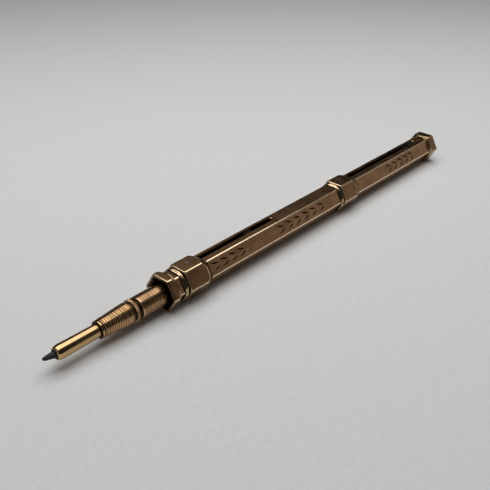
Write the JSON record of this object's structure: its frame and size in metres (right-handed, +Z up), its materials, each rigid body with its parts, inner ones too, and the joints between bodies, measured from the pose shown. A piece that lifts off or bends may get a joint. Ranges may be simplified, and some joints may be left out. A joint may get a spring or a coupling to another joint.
{
  "type": "lead holder",
  "caption": "Hexagonal gilt brass slide-out lead holder with two collar sliders, a turned nozzle that feeds the lead, and a dip pen at its other end.",
  "frame": {"origin": "under the middle of the whole length with the pencil run out, on the surface that the two fixed rings rest on", "axes": "+X along the barrel from the lead tip to the pen end, +Z up through the slotted face, +Y completing a right-handed frame"},
  "size_m": [0.1298, 0.0084, 0.0072],
  "materials": {
    "barrel_gold": "aged rolled gold, dull and brown, with engraved leaf sprays",
    "ring_gold": "aged rolled gold, rubbed bright along its edges",
    "nozzle_gold": "polished rolled gold with fine turned rings",
    "inner_brass": "plain tarnished brass",
    "steel": "plain steel",
    "graphite": "matt graphite"
  },
  "bodies": {
    "holder": {"barrel": "barrel_gold", "mouth_ring": "ring_gold", "end_ring": "ring_gold"},
    "pencil": {"front_slider": "ring_gold", "front_slider_pin": "ring_gold", "pencil_saddle": "inner_brass", "pencil_body_tube": "nozzle_gold", "tail_saddle": "inner_brass", "tail_plug": "inner_brass", "lead_spiral": "inner_brass"},
    "nozzle": {"nozzle_tube": "nozzle_gold", "grip_cone": "nozzle_gold", "milled_ring": "nozzle_gold", "guide_tube": "inner_brass", "retaining_collar": "inner_brass"},
    "lead_train": {"lead": "graphite", "push_rod": "steel", "follower_pin": "steel"},
    "pen": {"rear_slider": "ring_gold", "rear_slider_pin": "ring_gold", "pen_saddle": "inner_brass", "pen_tube": "nozzle_gold", "pen_plug": "inner_brass", "nib_core": "inner_brass", "pen_nib": "steel"}
  },
  "joints": [
    {"name": "pencil_slide", "type": "slide", "parent": "holder", "child": "pencil", "axis": [1, 0, 0], "range_m": [0, 0.0259]},
    {"name": "nozzle_turn", "type": "hinge", "parent": "pencil", "child": "nozzle", "pos_m": [-0.04775, 0, 0.00332], "axis": [-1, 0, 0], "range_deg": [-301, 1081]},
    {"name": "lead_feed", "type": "slide", "parent": "nozzle", "child": "lead_train", "axis": [-1, 0, 0], "range_m": [-0.0025, 0.009]},
    {"name": "pen_slide", "type": "slide", "parent": "holder", "child": "pen", "axis": [1, 0, 0], "range_m": [0, 0.0349]}
  ],
  "couplings": [
    {"joint": "nozzle_turn", "follows": "lead_feed", "rad_per_m": 2094.4}
  ]
}
